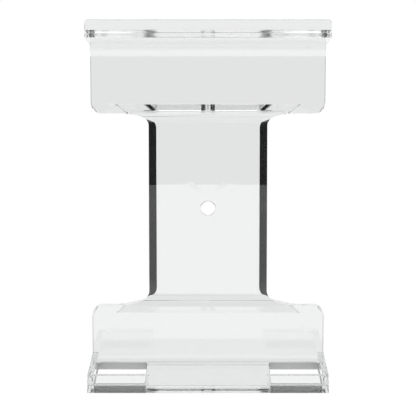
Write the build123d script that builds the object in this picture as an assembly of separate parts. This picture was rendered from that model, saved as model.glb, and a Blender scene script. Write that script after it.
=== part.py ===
from build123d import *
import os
from math import cos, radians, sin

# Clear acrylic headphone stand: an upright I-shaped plate with a sloping headband
# tray at the top and a shelf with cornered stops at the bottom. It stands on the
# shelf, and one screw through the neck can hold it to a wall.
# Millimetres, +Z up, the front faces -Y and X runs from left to right.
# Origin: on the floor plane, under the middle of the bounding box.

# ---- formed sheet ----
plate_width = 100.0  # both flanges, the tray and the shelf
sheet = 3.2  # thickness of the sheet everywhere
lower_flange_height = 28.2  # floor to the upper edge of the lower flange
neck_length = 83.2  # clear height between the two flanges
upper_flange_height = 29.0  # lower edge of the upper flange to the tray's underside
flange_corner_radius = 4.6
reach = 44.0  # plate's front face to the front edge of tray and shelf

# ---- neck: its web lies one sheet thickness behind the flanges ----
neck_width = 51.0
front_step_start = 0.7  # front slope starts this far inside the flange edge
front_step_end = 3.8  # and reaches the web this far outside it
recess_half_width = 33.2  # half width of the recess where it leaves the front face
rear_step_inset = 3.8  # rear step starts this far inside the flange edge
rear_step_half_width = 39.5
web_bevel = 3.3  # bevel on the rear side edges of the web
shoulder_radius = 30.0  # shallow arc that leaves the flange edge
throat_radius = 4.5  # tight arc that ends on the neck's side
front_turn = 17.5  # degrees that the shallow arc turns, front outline
rear_turn = 25.0  # the same on the rear outline
front_flare_turn = 6.5  # where the rear step's end leaves the shallow arc
rear_flare_turn = 11.0
screw_hole_diameter = 6.2

# ---- headband tray ----
tray_slope = 9.0  # degrees, rising to the front
tray_bend_radius = 6.0  # inside radius between plate and tray
tray_lip_rise = 4.2  # lip's height above the tray
lip_corner_radius = 1.3

# ---- shelf, corner stops and slots ----
shelf_bend_radius = 3.2  # inside radius between plate and shelf
stop_rise = 4.2  # stops' height above the shelf
stop_length = 25.5  # corner stop along the front, cheek included
cheek_thickness = 2.5
slot_end_gap = 1.8  # stop's inner end to the slot's inner end
slot_rear_gap = 2.0  # plate's front face to the slot's rear wall
slot_front_land = 2.0  # shelf left between the slot and the stop
slot_corner_radius = 1.0

# ---- derived places ----
half_width = plate_width / 2
upper_edge = lower_flange_height + neck_length
tray_root = upper_edge + upper_flange_height
neck_middle = lower_flange_height + neck_length / 2
web_back = 2 * sheet
centre_shift = (reach - web_back) / 2
clear = 1.0  # how far a cutting shape stands out of what it cuts


def side_profile(points, width):
    """A prism across the object, from a side profile given as (y, z) points."""
    corners = [(0, y, z) for y, z in points]
    face = Face(Wire.make_polygon(corners, close=True))
    return extrude(face, amount=width / 2, dir=(1, 0, 0), both=True)


def block(x_range, y_range, z_range):
    size = [high - low for low, high in (x_range, y_range, z_range)]
    middle = [(high + low) / 2 for low, high in (x_range, y_range, z_range)]
    return Pos(*middle) * Box(*size)


def round_edges_at(solid, radius, *places):
    """Fillet the straight edges across the object that pass through (y, z) places."""
    for y, z in places:
        across = solid.edges().filter_by(Axis.X)
        edge = across.sort_by(lambda e: (e.center().Y - y) ** 2 + (e.center().Z - z) ** 2)[0]
        solid = fillet(edge, radius)
    return solid


def quadrant(half, turn, flare_turn, corner):
    """Points of one quarter of a neck outline, as (x, height above the neck's middle)."""
    edge = neck_length / 2
    full = radians(turn)
    flare = radians(flare_turn)
    knee_x = half + throat_radius * (1 - sin(full))
    knee_z = edge - shoulder_radius * (1 - cos(full))
    centre_x = knee_x + shoulder_radius * sin(full)
    side_z = knee_z - throat_radius * cos(full)
    on_throat = (full + radians(90)) / 2
    on_shoulder = (full + flare) / 2

    def shoulder_point(angle):
        return centre_x - shoulder_radius * sin(angle), edge - shoulder_radius * (1 - cos(angle))

    throat_middle = (half + throat_radius * (1 - sin(on_throat)), side_z + throat_radius * cos(on_throat))
    return {
        "side": (half, side_z),
        "throat": throat_middle,
        "knee": (knee_x, knee_z),
        "shoulder": shoulder_point(on_shoulder),
        "flare": shoulder_point(flare),
        "corner": corner,
    }


def neck_wire(y, shape):
    """Closed neck outline at depth y: four mirrored copies of one quadrant."""

    def place(name, sx, sz):
        x, z = shape[name]
        return sx * x, y, neck_middle + sz * z

    edges = []
    turns = [(1, 1), (-1, 1), (-1, -1), (1, -1)]
    for index, (sx, sz) in enumerate(turns):
        quarter = [
            ThreePointArc(place("side", sx, sz), place("throat", sx, sz), place("knee", sx, sz)),
            ThreePointArc(place("knee", sx, sz), place("shoulder", sx, sz), place("flare", sx, sz)),
            Line(place("flare", sx, sz), place("corner", sx, sz)),
        ]
        next_x, next_z = turns[(index + 1) % 4]
        if index % 2 == 0:
            edges += quarter
            edges.append(Line(place("corner", sx, sz), place("corner", next_x, next_z)))
        else:
            edges += reversed(quarter)
            edges.append(Line(place("side", sx, sz), place("side", next_x, next_z)))
    return Wire(edges)


def make_neck():
    """Web with bevelled rear edges, plus the slopes that join it to the flanges."""
    edge = neck_length / 2
    rear_corner = edge + rear_step_inset
    front = quadrant(neck_width / 2, front_turn, front_flare_turn, (rear_step_half_width, rear_corner))
    rear_half = neck_width / 2 - web_bevel
    rear = quadrant(
        rear_half, rear_turn, rear_flare_turn, (rear_step_half_width - sheet, rear_corner - sheet)
    )
    web = Solid.make_loft([neck_wire(sheet, front), neck_wire(web_back, rear)], ruled=True)

    outline = quadrant(neck_width / 2, front_turn, 0, (rear_step_half_width, rear_corner))
    infill = extrude(Face(neck_wire(0, outline)), amount=sheet, dir=(0, 1, 0))
    return web + infill


def frame_wire(y, half, rise):
    """A rectangle at depth y, centred on the neck; rise is half its height."""
    corners = [(half, rise), (-half, rise), (-half, -rise), (half, -rise)]
    return Wire.make_polygon([(x, y, neck_middle + z) for x, z in corners], close=True)


def make_recess():
    """What sets the web's front face back from the flanges: a block that narrows to the rear."""
    edge = neck_length / 2
    slope = (front_step_start + front_step_end) / sheet
    front = frame_wire(-clear, recess_half_width + clear, edge + front_step_start + slope * clear)
    rear = frame_wire(sheet, recess_half_width - sheet, edge - front_step_end)
    return Solid.make_loft([front, rear], ruled=True)


def round_flange_corners(solid, edge_z):
    corners = [
        edge
        for edge in solid.edges().filter_by(Axis.Y)
        if abs(edge.center().Z - edge_z) < 0.01 and abs(abs(edge.center().X) - half_width) < 0.01
    ]
    return fillet(corners, flange_corner_radius)


def make_upper():
    """Upper flange bent forward into the sloping tray."""
    slope = radians(tray_slope)
    length = reach / cos(slope)
    forward = (-cos(slope), sin(slope))
    up = (sin(slope), cos(slope))

    def on_tray(along, above):
        return (
            along * forward[0] + above * up[0],
            tray_root + along * forward[1] + above * up[1],
        )

    rear_corner = on_tray(sheet * (sin(slope) - 1) / cos(slope), sheet)
    profile = [
        (0, upper_edge),
        (0, tray_root),
        on_tray(length, 0),
        on_tray(length, sheet),
        rear_corner,
        (sheet, upper_edge),
    ]
    upper = side_profile(profile, plate_width)
    upper = round_edges_at(upper, tray_bend_radius, (0, tray_root))
    upper = round_edges_at(upper, tray_bend_radius + sheet, rear_corner)
    lip_profile = [
        on_tray(length, sheet),
        on_tray(length, sheet + tray_lip_rise),
        on_tray(length - sheet, sheet + tray_lip_rise),
        on_tray(length - sheet, sheet),
    ]
    lip = side_profile(lip_profile, plate_width)
    middle_z = on_tray(length - sheet / 2, sheet + tray_lip_rise / 2)[1]
    lip_ends = [
        edge
        for edge in lip.edges()
        if abs(edge.length - sheet) < 0.01 and edge.center().Z > middle_z
    ]
    lip = fillet(lip_ends, lip_corner_radius)
    return round_flange_corners(upper, upper_edge), lip


def make_lower():
    """Lower flange bent forward into the shelf, with a slot behind each stop."""
    profile = [
        (0, lower_flange_height),
        (0, sheet),
        (-reach, sheet),
        (-reach, 0),
        (sheet, 0),
        (sheet, lower_flange_height),
    ]
    lower = side_profile(profile, plate_width)
    lower = round_edges_at(lower, shelf_bend_radius, (0, sheet))
    lower = round_edges_at(lower, shelf_bend_radius + sheet, (sheet, 0))
    lower = round_flange_corners(lower, lower_flange_height)
    slot = block(
        (half_width - stop_length + slot_end_gap, half_width - cheek_thickness),
        (sheet + slot_front_land - reach, -slot_rear_gap),
        (-clear, 3 * sheet),
    )
    slot = fillet(slot.edges().filter_by(Axis.Z), slot_corner_radius)
    return lower - slot - mirror(slot, about=Plane.YZ)


def make_stops():
    """Right-hand cheek and lip: strips bonded along the shelf's side and front."""
    top = sheet + stop_rise
    cheek = block((half_width - cheek_thickness, half_width), (-reach, 0), (sheet, top))
    inner = half_width - stop_length
    lip = block((inner, half_width - cheek_thickness), (-reach, sheet - reach), (sheet, top))
    return cheek, lip


upper, tray_lip = make_upper()
body = upper + make_neck() + make_lower() - make_recess()
hole = Pos(0, sheet * 1.5, neck_middle) * Rot(90, 0, 0) * Cylinder(screw_hole_diameter / 2, 3 * sheet)
body = body - hole
right_cheek, right_lip = make_stops()

parts = {
    "bracket_body": body,
    "tray_lip": tray_lip,
    "right_shelf_cheek": right_cheek - body,
    "right_shelf_lip": right_lip,
}
for name in ("shelf_cheek", "shelf_lip"):
    parts["left_" + name] = mirror(parts["right_" + name], about=Plane.YZ)

os.makedirs("parts", exist_ok=True)
for name, shape in parts.items():
    export_step(Pos(0, centre_shift, 0) * shape, f"parts/{name}.step")
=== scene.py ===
import bmesh
import bpy
from math import cos, pi, radians, sin
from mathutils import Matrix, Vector


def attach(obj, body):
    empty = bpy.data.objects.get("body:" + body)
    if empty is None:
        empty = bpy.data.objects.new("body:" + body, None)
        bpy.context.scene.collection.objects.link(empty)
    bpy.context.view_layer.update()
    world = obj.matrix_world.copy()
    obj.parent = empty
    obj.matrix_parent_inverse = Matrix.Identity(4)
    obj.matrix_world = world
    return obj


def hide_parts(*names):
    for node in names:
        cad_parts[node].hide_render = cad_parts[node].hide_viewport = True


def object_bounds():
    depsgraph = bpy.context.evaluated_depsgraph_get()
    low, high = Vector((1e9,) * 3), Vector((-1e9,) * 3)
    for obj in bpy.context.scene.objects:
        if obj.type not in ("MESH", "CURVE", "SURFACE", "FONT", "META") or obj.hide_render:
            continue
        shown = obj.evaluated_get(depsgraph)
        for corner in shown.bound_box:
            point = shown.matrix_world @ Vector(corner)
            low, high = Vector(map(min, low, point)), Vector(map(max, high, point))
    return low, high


# A clear acrylic headphone stand on a pale light table, in the CAD frame: the front
# faces -Y and Z is up. Sizes are given in millimetres and meshes are made in metres.
# Each piece is rebuilt here with smooth bends and eased edges, because light runs
# through all of it and shows every facet.

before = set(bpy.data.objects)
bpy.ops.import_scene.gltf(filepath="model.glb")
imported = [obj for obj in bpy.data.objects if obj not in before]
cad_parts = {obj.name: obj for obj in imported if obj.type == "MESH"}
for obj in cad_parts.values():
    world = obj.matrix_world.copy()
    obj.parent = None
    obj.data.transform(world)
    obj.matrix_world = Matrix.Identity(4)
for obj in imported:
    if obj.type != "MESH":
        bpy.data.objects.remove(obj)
cad_low, cad_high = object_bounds()

MM = 0.001

# ---- formed sheet ----
SHEET = 3.2  # thickness everywhere
HALF_WIDTH = (cad_high.x - cad_low.x) / 2 / MM
FRONT = cad_low.y / MM
WEB_BACK = cad_high.y / MM
PLATE_FRONT = WEB_BACK - 2 * SHEET
PLATE_BACK = WEB_BACK - SHEET
LOWER_EDGE = 28.2  # upper edge of the lower flange
UPPER_EDGE = 111.4  # lower edge of the upper flange
TRAY_ROOT = 140.4  # where the plate's front meets the tray's underside
NECK_MIDDLE = (UPPER_EDGE + LOWER_EDGE) / 2
FLANGE_CORNER = 4.6
TRAY_SLOPE = radians(9)
TRAY_BEND = 6.0  # inside radius
SHELF_BEND = 3.2
LIP_RISE = 4.2
LIP_CORNER = 1.3

# ---- neck ----
NECK_HALF = 25.5
WEB_BEVEL = 3.3
SHOULDER = 30.0
THROAT = 4.5
FRONT_TURN, REAR_TURN = radians(17.5), radians(25)
FRONT_FLARE, REAR_FLARE = radians(6.5), radians(11)
STEP_START = 0.7  # front slope starts this far inside the flange edge
# The slope reaches the web this far outside the flange edge. The CAD has 3.8; here that
# value leaves a thin slanting line across the web's lower end, and 3.9 doesn't.
STEP_END = 3.9
RECESS_HALF = 33.2  # half width of the recess at the front face
REAR_STEP = 3.8  # rear step starts this far inside the flange edge
REAR_STEP_HALF = 39.5
HOLE_RADIUS = 3.1

# ---- corner stops and slots ----
STOP_TOP = SHEET + 4.2
STOP_INNER = 24.5  # middle plane to a stop's inner end
CHEEK = 2.5
SLOT_INNER = STOP_INNER + 1.8
SLOT_OUTER = HALF_WIDTH - CHEEK
SLOT_BACK = PLATE_FRONT - 2.0
SLOT_FRONT = FRONT + SHEET + 2.0
SLOT_CORNER = 1.0

# ---- making of the meshes ----
EASE = 0.16  # how far the edges are rounded
GLUE = 0.02  # thickness of a bonded joint
MARGIN = 0.05  # allowance when a face is found by its place
LARGE_FACE = 60e-6  # square metres; larger faces are flat, smaller ones may curve
OVERSHOOT = 1.0  # how far the recess and the wide profiles stand out of the sheet
HOLE_OVERSHOOT = 5  # and the screw hole's cutter out of the web
SLOT_CUT_LOW, SLOT_CUT_HIGH = -5, 20  # heights that the slots' cutters run between
GRID_DIGITS = 3  # corners lie on a grid of 0.001 mm, so that neighbours meet exactly
MERGE_DISTANCE = 0.002
FLAT_ANGLE = radians(0.4)  # faces that differ by less are one flat face
SHARP_ANGLE = radians(28)  # edges that turn by more are eased
BEND_STEPS, CORNER_STEPS, LIP_STEPS, SLOT_STEPS = 24, 20, 10, 8
THROAT_STEPS, SHOULDER_STEPS, HOLE_STEPS = 18, 8, 72
OUTLINE_DEPTH = 80  # an outline that trims a profile reaches this far each way in Y
OUTLINE_TOP, OUTLINE_BOTTOM = 200, -20  # and past the profile in Z

# ---- materials: clear and milled acrylic, and the bevels' painted dark reflection ----
MILLED, PAINTED_DARK = 1, 2  # their places among a piece's materials; clear acrylic comes first, and the second of these is black paint for a painted dark reflection on the web's bevels
STEEP = 0.5  # a slot's wall has less than this of its normal along Z
BEVEL_SIDEWAYS = 0.3  # a bevel's normal has more than this across
BEVEL_REARWARD = (0.3, 0.95)  # and this much to the rear
REFRACTION = 1.49
CLEAR_TINT = (0.8, 0.806, 0.806)
MILLED_TINT = (0.55, 0.555, 0.555)
# Painted dark reflection: black paint for the web's bevels, which are clear acrylic and look dark only
# by what they reflect.
PAINTED_DARK_TINT = (0.01, 0.01, 0.01)
CLOUD_SCALE = 38  # patches of slightly duller gloss, about 25 mm across
CLOUD_START, CLOUD_FULL = 0.52, 0.8  # noise at which the gloss starts to drop, and is lowest

# ---- stage: places in millimetres, glows as radiance where 1 is white ----
BACK_GLOW = 1.0
FRONT_GLOW = 1.97
FAR_GLOW = 0.3
SOFTBOX_GLOW = 1.3
ROOM_GREY = 0.01
FRONT_REACH = 535  # plate to the end of the brightest floor
FRONT_START = 12  # shelf to its beginning
FLOOR = -0.2
SWEEP_BEND = 250
SWEEP_STEPS = 12
SWEEP_HALF = 3000
FAR_FRONT = -3000
WALL = 1500
WALL_TOP = 2400
SOFTBOX_PLACE = -1300
SOFTBOX_LOW, SOFTBOX_HIGH = 20, 1500
SOFTBOX_HALF = 900

# ---- camera and rendering ----
CAMERA_PITCH = radians(9.1)  # below the horizontal
CAMERA_DISTANCE = 0.944  # metres
CAMERA_TARGET = Vector((0, PLATE_FRONT * MM, 0.07065))  # metres
LENS = 190.384615
SENSOR = 36
LIGHT_BOUNCES = 32  # light crosses many faces inside the acrylic


def arc(centre, radius, start, turn, steps):
    """Points of an arc in a plane; angles in radians, the first and last points included."""
    cx, cy = centre
    return [
        (cx + radius * cos(start + turn * i / steps), cy + radius * sin(start + turn * i / steps))
        for i in range(steps + 1)
    ]


def round_corner(previous, corner, following, radius, steps):
    """Points of a fillet between two straight runs that meet at a corner."""
    a = Vector(previous) - Vector(corner)
    b = Vector(following) - Vector(corner)
    a.normalize()
    b.normalize()
    half = a.angle(b) / 2
    centre = Vector(corner) + (a + b).normalized() * radius / sin(half)
    begin = Vector(corner) + a * radius / (sin(half) / cos(half)) - centre
    end = Vector(corner) + b * radius / (sin(half) / cos(half)) - centre
    turn = begin.angle_signed(end)
    points = []
    for i in range(steps + 1):
        swing = -turn * i / steps
        points.append(
            (
                centre.x + begin.x * cos(swing) - begin.y * sin(swing),
                centre.y + begin.x * sin(swing) + begin.y * cos(swing),
            )
        )
    return points


def rounded(points, radii, steps=BEND_STEPS):
    """A closed outline whose corners are rounded; a radius of 0 leaves a corner sharp."""
    outline = []
    for i, point in enumerate(points):
        if radii[i]:
            outline += round_corner(points[i - 1], point, points[(i + 1) % len(points)], radii[i], steps)
        else:
            outline.append(point)
    return outline


def solid_between(name, ring_a, ring_b):
    """A closed mesh between two rings of the same number of points, in millimetres."""
    shape = bmesh.new()
    verts_a = [shape.verts.new([round(c, GRID_DIGITS) * MM for c in p]) for p in ring_a]
    verts_b = [shape.verts.new([round(c, GRID_DIGITS) * MM for c in p]) for p in ring_b]
    count = len(ring_a)
    for i in range(count):
        j = (i + 1) % count
        shape.faces.new((verts_a[i], verts_a[j], verts_b[j], verts_b[i]))
    shape.faces.new(verts_a)
    shape.faces.new(reversed(verts_b))
    bmesh.ops.recalc_face_normals(shape, faces=shape.faces)
    bmesh.ops.triangulate(shape, faces=shape.faces)
    mesh = bpy.data.meshes.new(name)
    shape.to_mesh(mesh)
    shape.free()
    piece = bpy.data.objects.new(name, mesh)
    bpy.context.scene.collection.objects.link(piece)
    return piece


def across(name, outline, x_from, x_to):
    """A prism along X, from an outline of (y, z) points."""
    return solid_between(name, [(x_from, y, z) for y, z in outline], [(x_to, y, z) for y, z in outline])


def deep(name, outline, y_from, y_to):
    """A prism along Y, from an outline of (x, z) points."""
    return solid_between(name, [(x, y_from, z) for x, z in outline], [(x, y_to, z) for x, z in outline])


def upright(name, outline, z_from, z_to):
    """A prism along Z, from an outline of (x, y) points."""
    return solid_between(name, [(x, y, z_from) for x, y in outline], [(x, y, z_to) for x, y in outline])


def combine(piece, other, operation):
    """Joins, cuts or intersects piece with other, which is used up."""
    step = piece.modifiers.new("combine", "BOOLEAN")
    step.operation = operation
    step.solver = "EXACT"
    step.object = other
    bake(piece)
    bpy.data.objects.remove(other)
    return piece


def bake(piece):
    """Turns a piece's modifiers into its mesh."""
    graph = bpy.context.evaluated_depsgraph_get()
    old = piece.data
    piece.data = bpy.data.meshes.new_from_object(piece.evaluated_get(graph))
    piece.modifiers.clear()
    bpy.data.meshes.remove(old)
    piece.data.name = piece.name


def merge_flat(piece):
    """Merges faces that lie in one plane, drops stray points and makes triangles of the rest."""
    shape = bmesh.new()
    shape.from_mesh(piece.data)
    bmesh.ops.remove_doubles(shape, verts=shape.verts, dist=MERGE_DISTANCE * MM)
    bmesh.ops.dissolve_limit(
        shape, angle_limit=FLAT_ANGLE, verts=shape.verts, edges=shape.edges, delimit=set()
    )
    bmesh.ops.triangulate(shape, faces=shape.faces)
    shape.to_mesh(piece.data)
    shape.free()


def ease_edges(piece, width=EASE):
    """Rounds the sharp edges a little, and shades bends smoothly and flat faces flat."""
    merge_flat(piece)
    step = piece.modifiers.new("ease", "BEVEL")
    step.width = width * MM
    step.segments = 2
    step.limit_method = "ANGLE"
    step.angle_limit = SHARP_ANGLE
    step.use_clamp_overlap = False
    step.miter_outer = "MITER_ARC"
    bake(piece)
    for face in piece.data.polygons:
        face.use_smooth = face.area < LARGE_FACE
    step = piece.modifiers.new("shade", "WEIGHTED_NORMAL")
    step.weight = 100
    step.keep_sharp = True
    bake(piece)


def mirrored_ring(shape):
    """A closed ring of (x, z) points from one quarter, mirrored four ways."""
    right_top = [(x, NECK_MIDDLE + z) for x, z in shape]
    right_bottom = [(x, NECK_MIDDLE - z) for x, z in reversed(shape)]
    left_bottom = [(-x, z) for x, z in reversed(right_bottom)]
    left_top = [(-x, z) for x, z in reversed(right_top)]
    return right_top + left_top + left_bottom + right_bottom


def neck_quarter(half, turn, flare, corner):
    """One quarter of the neck's outline, from its side up to the end of the step."""
    edge = (UPPER_EDGE - LOWER_EDGE) / 2
    knee_x = half + THROAT * (1 - sin(turn))
    knee_z = edge - SHOULDER * (1 - cos(turn))
    throat = arc((half + THROAT, knee_z - THROAT * cos(turn)), THROAT, pi, turn - pi / 2, THROAT_STEPS)
    centre = (knee_x + SHOULDER * sin(turn), edge - SHOULDER)
    shoulder = arc(centre, SHOULDER, pi / 2 + turn, flare - turn, SHOULDER_STEPS)
    return throat + shoulder[1:] + [corner]


def make_neck():
    """The web with its bevelled rear edges, and the sloping steps to the flanges."""
    edge = (UPPER_EDGE - LOWER_EDGE) / 2
    corner = (REAR_STEP_HALF, edge + REAR_STEP)
    front = mirrored_ring(neck_quarter(NECK_HALF, FRONT_TURN, FRONT_FLARE, corner))
    rear = mirrored_ring(
        neck_quarter(
            NECK_HALF - WEB_BEVEL,
            REAR_TURN,
            REAR_FLARE,
            (REAR_STEP_HALF - SHEET, edge + REAR_STEP - SHEET),
        )
    )
    web = solid_between(
        "web",
        [(x, PLATE_BACK, z) for x, z in front],
        [(x, WEB_BACK, z) for x, z in rear],
    )
    outline = mirrored_ring(neck_quarter(NECK_HALF, FRONT_TURN, 0, corner))
    infill = deep("infill", outline, PLATE_FRONT, PLATE_BACK)
    return combine(web, infill, "UNION")


def rectangle(half, top, bottom):
    """Corners of a rectangle about the middle plane, as (x, z) points from the top right."""
    return [(half, top), (-half, top), (-half, bottom), (half, bottom)]


def cut_recess(body):
    """Sets the web's front face back from the flanges, with a slope at each end."""
    slope = (STEP_START + STEP_END) / SHEET
    front = rectangle(
        RECESS_HALF + OVERSHOOT,
        UPPER_EDGE + STEP_START + slope * OVERSHOOT,
        LOWER_EDGE - STEP_START - slope * OVERSHOOT,
    )
    back = rectangle(RECESS_HALF - SHEET, UPPER_EDGE - STEP_END, LOWER_EDGE + STEP_END)
    cutter = solid_between(
        "recess",
        [(x, PLATE_FRONT - OVERSHOOT, z) for x, z in front],
        [(x, PLATE_BACK, z) for x, z in back],
    )
    return combine(body, cutter, "DIFFERENCE")


def trim(profile, outline):
    """Keeps what lies inside an outline of (x, z) points, seen from the front."""
    return combine(profile, deep("outline", outline, -OUTLINE_DEPTH, OUTLINE_DEPTH), "INTERSECT")


def tray_point(along, above):
    """A (y, z) point on the tray: along it from its root, and above its underside."""
    return (
        PLATE_FRONT - along * cos(TRAY_SLOPE) + above * sin(TRAY_SLOPE),
        TRAY_ROOT + along * sin(TRAY_SLOPE) + above * cos(TRAY_SLOPE),
    )


def make_upper():
    """The upper flange and the tray, bent from one sheet."""
    length = (PLATE_FRONT - FRONT) / cos(TRAY_SLOPE)
    behind = SHEET * (sin(TRAY_SLOPE) - 1) / cos(TRAY_SLOPE)
    profile = rounded(
        [
            (PLATE_FRONT, UPPER_EDGE),
            (PLATE_FRONT, TRAY_ROOT),
            tray_point(length, 0),
            tray_point(length, SHEET),
            tray_point(behind, SHEET),
            (PLATE_BACK, UPPER_EDGE),
        ],
        [0, TRAY_BEND, 0, 0, TRAY_BEND + SHEET, 0],
    )
    upper = across("upper", profile, -HALF_WIDTH - OVERSHOOT, HALF_WIDTH + OVERSHOOT)
    outline = rounded(
        [
            (-HALF_WIDTH, OUTLINE_TOP),
            (HALF_WIDTH, OUTLINE_TOP),
            (HALF_WIDTH, UPPER_EDGE),
            (-HALF_WIDTH, UPPER_EDGE),
        ],
        [0, 0, FLANGE_CORNER, FLANGE_CORNER],
        CORNER_STEPS,
    )
    return trim(upper, outline)


def make_lower():
    """The lower flange and the shelf, with the slots behind the corner stops."""
    profile = rounded(
        [
            (PLATE_FRONT, LOWER_EDGE),
            (PLATE_FRONT, SHEET),
            (FRONT, SHEET),
            (FRONT, 0),
            (PLATE_BACK, 0),
            (PLATE_BACK, LOWER_EDGE),
        ],
        [0, SHELF_BEND, 0, 0, SHELF_BEND + SHEET, 0],
    )
    lower = across("lower", profile, -HALF_WIDTH - OVERSHOOT, HALF_WIDTH + OVERSHOOT)
    outline = rounded(
        [
            (-HALF_WIDTH, OUTLINE_BOTTOM),
            (-HALF_WIDTH, LOWER_EDGE),
            (HALF_WIDTH, LOWER_EDGE),
            (HALF_WIDTH, OUTLINE_BOTTOM),
        ],
        [0, FLANGE_CORNER, FLANGE_CORNER, 0],
        CORNER_STEPS,
    )
    lower = trim(lower, outline)
    for side in (-1, 1):
        slot = rounded(
            [
                (side * SLOT_INNER, SLOT_FRONT),
                (side * SLOT_OUTER, SLOT_FRONT),
                (side * SLOT_OUTER, SLOT_BACK),
                (side * SLOT_INNER, SLOT_BACK),
            ],
            [SLOT_CORNER] * 4,
            SLOT_STEPS,
        )
        cutter = upright("slot", slot, SLOT_CUT_LOW, SLOT_CUT_HIGH)
        lower = combine(lower, cutter, "DIFFERENCE")
    return lower


def make_body():
    """The formed sheet: both flanges, the neck with its screw hole, the tray and the shelf."""
    body = combine(make_neck(), make_upper(), "UNION")
    body = combine(body, make_lower(), "UNION")
    body = cut_recess(body)
    hole = arc((0, NECK_MIDDLE), HOLE_RADIUS, 0, 2 * pi, HOLE_STEPS)[:-1]
    body = combine(body, deep("hole", hole, PLATE_FRONT, WEB_BACK + HOLE_OVERSHOOT), "DIFFERENCE")
    body.name = "formed_sheet"
    return body


def make_tray_lip():
    """The strip along the tray's front edge, with rounded top corners."""
    length = (PLATE_FRONT - FRONT) / cos(TRAY_SLOPE)
    low = SHEET + GLUE
    high = SHEET + LIP_RISE
    profile = [
        tray_point(length, low),
        tray_point(length, high),
        tray_point(length - SHEET, high),
        tray_point(length - SHEET, low),
    ]
    lip = across("tray_front_lip", profile, -HALF_WIDTH, HALF_WIDTH)
    top = tray_point(length, high)[1]
    bottom = top + OUTLINE_BOTTOM
    outline = rounded(
        [(-HALF_WIDTH, bottom), (HALF_WIDTH, bottom), (HALF_WIDTH, top), (-HALF_WIDTH, top)],
        [0, 0, LIP_CORNER, LIP_CORNER],
        LIP_STEPS,
    )
    return trim(lip, outline)


def make_stops():
    """The strips that make the corner stops: a cheek on each side and a lip in front."""
    bottom = SHEET + GLUE
    back = PLATE_FRONT - GLUE
    cheek = rounded(
        [(FRONT, bottom), (FRONT, STOP_TOP), (back, STOP_TOP), (back, bottom)], [0, 0, 0, SHELF_BEND]
    )
    lip = [(FRONT, bottom), (FRONT, STOP_TOP), (FRONT + SHEET, STOP_TOP), (FRONT + SHEET, bottom)]
    stops = []
    for side, word in ((-1, "left"), (1, "right")):
        inner = side * (HALF_WIDTH - CHEEK)
        stops.append(across(word + "_cheek_strip", cheek, side * HALF_WIDTH, inner))
        stops.append(across(word + "_lip_strip", lip, inner - side * GLUE, side * STOP_INNER))
    return stops


def mark_finishes_and_painted_dark(piece):
    """Gives the slots' walls their milled surface, and the web's bevels black paint, a painted dark
    reflection.
    """
    least, most = BEVEL_REARWARD
    for face in piece.data.polygons:
        x, y, z = (c / MM for c in face.center)
        normal = face.normal
        across_slot = SLOT_INNER - MARGIN < abs(x) < SLOT_OUTER + MARGIN
        along_slot = SLOT_FRONT - MARGIN < y < SLOT_BACK + MARGIN
        steep = abs(normal.z) < STEEP
        if across_slot and along_slot and steep and z < SHEET - MARGIN:
            face.material_index = MILLED
        on_web = PLATE_BACK - MARGIN < y < WEB_BACK
        bevelled = abs(normal.x) > BEVEL_SIDEWAYS and least < normal.y < most
        # the bevels get black paint, a painted dark reflection
        if on_web and bevelled:
            face.material_index = PAINTED_DARK


def acrylic(name, colour, transmission, roughness, spread, waves, depth):
    """Acrylic whose roughness drifts up by as much as spread, with waves of a depth in metres."""
    material = bpy.data.materials.new(name)
    material.use_nodes = True
    nodes = material.node_tree.nodes
    links = material.node_tree.links
    shader = nodes["Principled BSDF"]
    shader.inputs["Base Color"].default_value = (*colour, 1)
    shader.inputs["Transmission Weight"].default_value = transmission
    shader.inputs["IOR"].default_value = REFRACTION

    place = nodes.new("ShaderNodeTexCoord")
    cloud = nodes.new("ShaderNodeTexNoise")
    cloud.inputs["Scale"].default_value = CLOUD_SCALE
    cloud.inputs["Detail"].default_value = 3
    drift = nodes.new("ShaderNodeMapRange")
    drift.inputs["From Min"].default_value = CLOUD_START
    drift.inputs["From Max"].default_value = CLOUD_FULL
    drift.inputs["To Min"].default_value = roughness
    drift.inputs["To Max"].default_value = roughness + spread
    links.new(place.outputs["Object"], cloud.inputs["Vector"])
    links.new(cloud.outputs["Fac"], drift.inputs["Value"])
    links.new(drift.outputs["Result"], shader.inputs["Roughness"])

    ripple = nodes.new("ShaderNodeTexNoise")
    ripple.inputs["Scale"].default_value = waves
    ripple.inputs["Detail"].default_value = 1
    bump = nodes.new("ShaderNodeBump")
    bump.inputs["Strength"].default_value = 0.5
    bump.inputs["Distance"].default_value = depth
    links.new(place.outputs["Object"], ripple.inputs["Vector"])
    links.new(ripple.outputs["Fac"], bump.inputs["Height"])
    links.new(bump.outputs["Normal"], shader.inputs["Normal"])
    return material


def glow(name, strength):
    """White light of an even strength."""
    material = bpy.data.materials.new(name)
    material.use_nodes = True
    nodes = material.node_tree.nodes
    links = material.node_tree.links
    nodes.clear()
    light = nodes.new("ShaderNodeEmission")
    light.inputs["Color"].default_value = (1, 1, 1, 1)
    light.inputs["Strength"].default_value = strength
    out = nodes.new("ShaderNodeOutputMaterial")
    links.new(light.outputs[0], out.inputs["Surface"])
    return material


def sheet_of_light(name, points, glow_of, half):
    """A bright strip across X through (y, z) points; glow_of gives each span's strength."""
    mesh = bpy.data.meshes.new(name)
    verts = [(x * MM, y * MM, z * MM) for y, z in points for x in (-half, half)]
    faces = [(2 * i, 2 * i + 1, 2 * i + 3, 2 * i + 2) for i in range(len(points) - 1)]
    mesh.from_pydata(verts, [], faces)
    strengths = [glow_of(i) for i in range(len(faces))]
    levels = sorted(set(strengths))
    for level in levels:
        mesh.materials.append(glow(name + "_glow", level))
    for face in mesh.polygons:
        face.material_index = levels.index(strengths[face.index])
    piece = bpy.data.objects.new(name, mesh)
    bpy.context.scene.collection.objects.link(piece)


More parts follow.
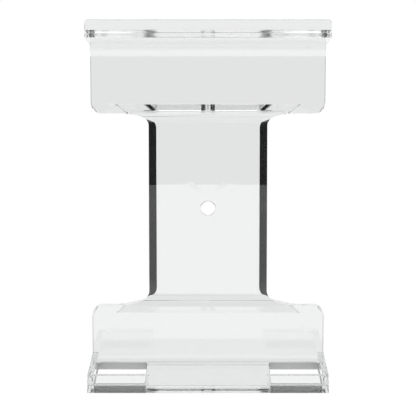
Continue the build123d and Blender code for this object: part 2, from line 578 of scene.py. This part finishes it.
def make_stage():
    """A bright sweep that is brightest in front of the stand, and a softbox behind the camera."""
    profile = [
        (FAR_FRONT, FLOOR),
        (PLATE_FRONT - FRONT_REACH, FLOOR),
        (FRONT - FRONT_START, FLOOR),
        (WALL - SWEEP_BEND, FLOOR),
    ]
    centre = (WALL - SWEEP_BEND, SWEEP_BEND + FLOOR)
    profile += arc(centre, SWEEP_BEND, -pi / 2, pi / 2, SWEEP_STEPS)[1:]
    profile += [(WALL, WALL_TOP)]
    first_spans = {0: FAR_GLOW, 1: FRONT_GLOW}
    sheet_of_light("sweep", profile, lambda span: first_spans.get(span, BACK_GLOW), SWEEP_HALF)
    softbox = [(SOFTBOX_PLACE, SOFTBOX_LOW), (SOFTBOX_PLACE, SOFTBOX_HIGH)]
    sheet_of_light("softbox", softbox, lambda span: SOFTBOX_GLOW, SOFTBOX_HALF)
    world = bpy.data.worlds.new("room")
    bpy.context.scene.world = world
    world.use_nodes = True
    background = world.node_tree.nodes["Background"]
    background.inputs["Color"].default_value = (ROOM_GREY, ROOM_GREY, ROOM_GREY, 1)


def make_camera():
    """A long lens that looks a little down on the stand."""
    camera = bpy.data.cameras.new("camera")
    camera.sensor_width = SENSOR
    camera.lens = LENS
    camera.clip_start = 0.01
    camera.clip_end = 20
    holder = bpy.data.objects.new("camera", camera)
    away = Vector((0, -cos(CAMERA_PITCH), sin(CAMERA_PITCH)))
    holder.location = CAMERA_TARGET + CAMERA_DISTANCE * away
    holder.rotation_euler = (pi / 2 - CAMERA_PITCH, 0, 0)
    bpy.context.scene.collection.objects.link(holder)
    bpy.context.scene.camera = holder


make_camera()
make_stage()
finishes_and_painted_dark = [
    acrylic("clear_acrylic", CLEAR_TINT, 1, roughness=0.0, spread=0.02, waves=60, depth=1e-5),
    acrylic("milled_acrylic", MILLED_TINT, 0, roughness=0.6, spread=0.3, waves=900, depth=2e-4),
    # Black paint on the web's clear bevels: a painted dark reflection.
    acrylic("bevel_painted_dark", PAINTED_DARK_TINT, 0, roughness=0.1, spread=0.1, waves=900, depth=2e-4),
]
nodes_of = {
    "formed_sheet": "bracket_body",
    "tray_front_lip": "tray_lip",
    "left_cheek_strip": "left_shelf_cheek",
    "left_lip_strip": "left_shelf_lip",
    "right_cheek_strip": "right_shelf_cheek",
    "right_lip_strip": "right_shelf_lip",
}
for piece in [make_body(), make_tray_lip()] + make_stops():
    ease_edges(piece)
    piece.data.materials.clear()
    for finish_or_painted_dark in finishes_and_painted_dark:
        piece.data.materials.append(finish_or_painted_dark)
    mark_finishes_and_painted_dark(piece)
    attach(piece, "root")
    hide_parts(nodes_of[piece.name])

scene = bpy.context.scene
scene.view_settings.view_transform = "Standard"
scene.cycles.max_bounces = LIGHT_BOUNCES
scene.cycles.transmission_bounces = LIGHT_BOUNCES
scene.cycles.glossy_bounces = LIGHT_BOUNCES
